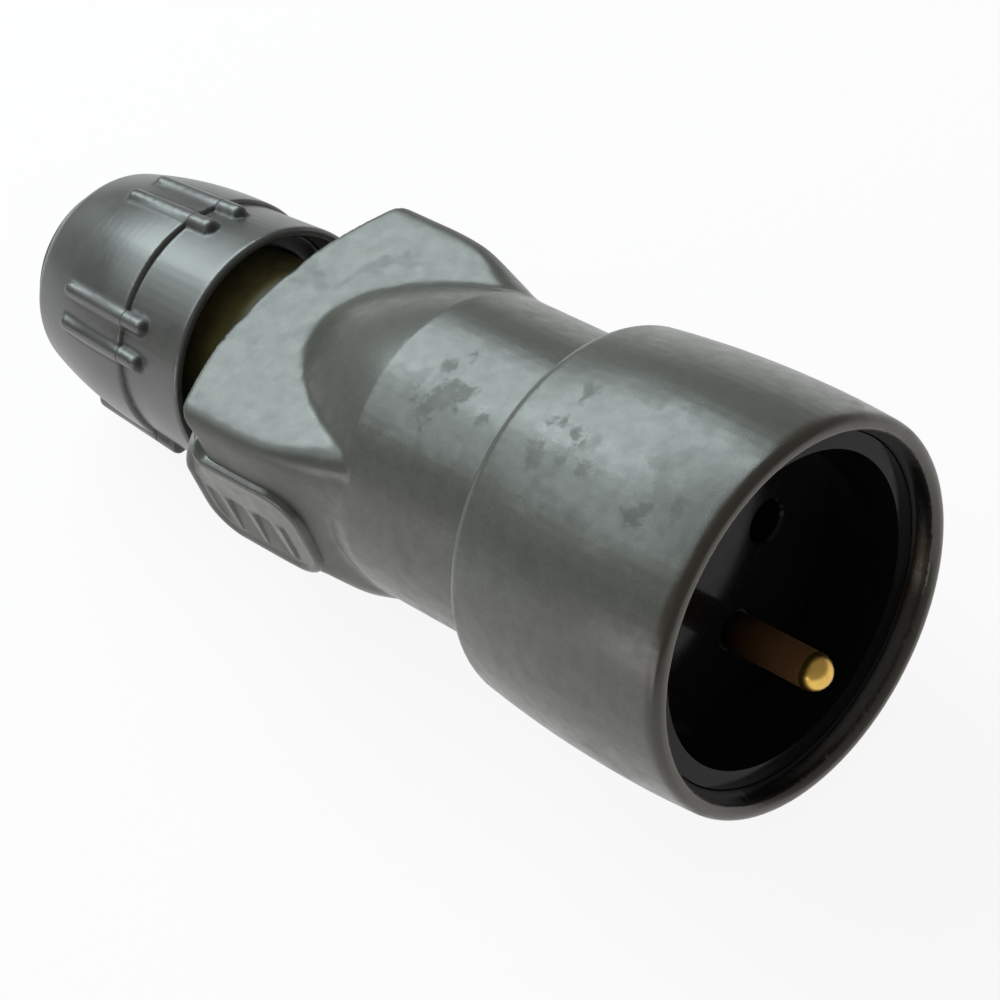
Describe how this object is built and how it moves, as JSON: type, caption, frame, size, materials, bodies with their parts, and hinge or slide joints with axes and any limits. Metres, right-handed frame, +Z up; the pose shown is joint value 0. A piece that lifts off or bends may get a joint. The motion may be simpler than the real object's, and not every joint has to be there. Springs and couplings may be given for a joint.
{
  "type": "industrial inline socket",
  "caption": "Rubber-bodied inline power socket with a round recessed mouth, earth pin, flat-sided grip block and a loosened domed cable gland nut.",
  "frame": {"origin": "centre of the bounding box at the surface that the socket lies on", "axes": "+X towards the open mouth, +Y to the side of the left contact, +Z up; the socket axis rises 5.35 degrees towards the mouth"},
  "size_m": [0.1311, 0.0514, 0.0526],
  "materials": {
    "rubber_body": "weathered grey rubber with pale bloom",
    "insert_plastic": "black moulded thermoset with a soft sheen",
    "screw_steel": "zinc-plated steel",
    "contact_brass": "machined brass",
    "clip_steel": "spring steel",
    "pin_brass": "polished brass, rubbed bright at the tip",
    "gland_plastic": "olive-brown moulded plastic",
    "seal_rubber": "soft black rubber",
    "nut_plastic": "dark grey moulded plastic with a satin sheen"
  },
  "bodies": {
    "root": {"housing": "rubber_body", "socket_insert": "insert_plastic", "insert_cover": "insert_plastic", "cover_screw_left": "screw_steel", "cover_screw_right": "screw_steel", "contact_line": "contact_brass", "contact_neutral": "contact_brass", "contact_clip_line": "clip_steel", "contact_clip_neutral": "clip_steel", "earth_pin": "pin_brass", "earth_terminal": "contact_brass", "terminal_screw_line": "screw_steel", "terminal_screw_neutral": "screw_steel", "terminal_screw_earth": "screw_steel", "gland_spigot": "gland_plastic", "clamp_collet": "insert_plastic", "sealing_grommet": "seal_rubber", "slip_ring": "gland_plastic", "gland_nut": "nut_plastic"}
  },
  "joints": []
}
